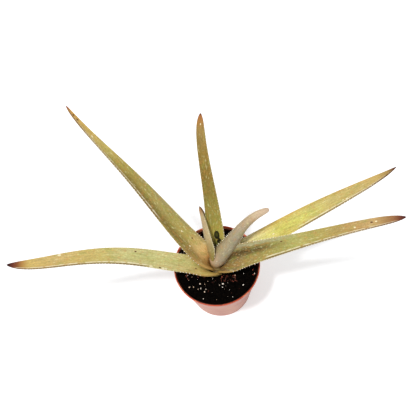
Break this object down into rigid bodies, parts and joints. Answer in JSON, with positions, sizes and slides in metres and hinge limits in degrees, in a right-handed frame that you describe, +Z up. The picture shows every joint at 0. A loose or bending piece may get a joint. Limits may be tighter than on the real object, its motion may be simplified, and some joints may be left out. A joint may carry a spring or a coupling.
{
  "type": "potted aloe plant",
  "caption": "Young aloe with long toothed, channelled leaves spreading from a clasping crown in a round tapered nursery pot of dark potting soil.",
  "frame": {"origin": "middle of the pot's flat base, where it stands", "axes": "+Z up; +X to the side where the two longest right-hand leaves reach out, -Y to the side the picture was taken from"},
  "size_m": [0.4841, 0.236, 0.2637],
  "materials": {
    "pot_plastic": "thin moulded terracotta-red polypropylene, slightly translucent, redder on the lip",
    "potting_soil": "moist black peat with white perlite grains and brown bark fibres",
    "stem_tissue": "pale tan leaf-base tissue",
    "leaf": "waxy yellow-green succulent skin, tan to brown towards the tips, pale toothed margins",
    "leaf_young": "waxy grey-tan young succulent skin with pale toothed margins"
  },
  "bodies": {
    "root": {"pot": "pot_plastic", "soil": "potting_soil", "stem": "stem_tissue", "leaf_left": "leaf", "leaf_upper_right": "leaf", "leaf_lower_right": "leaf", "leaf_upper_left": "leaf", "leaf_back": "leaf", "leaf_inner_right": "leaf_young", "leaf_inner_left": "leaf_young"}
  },
  "joints": []
}
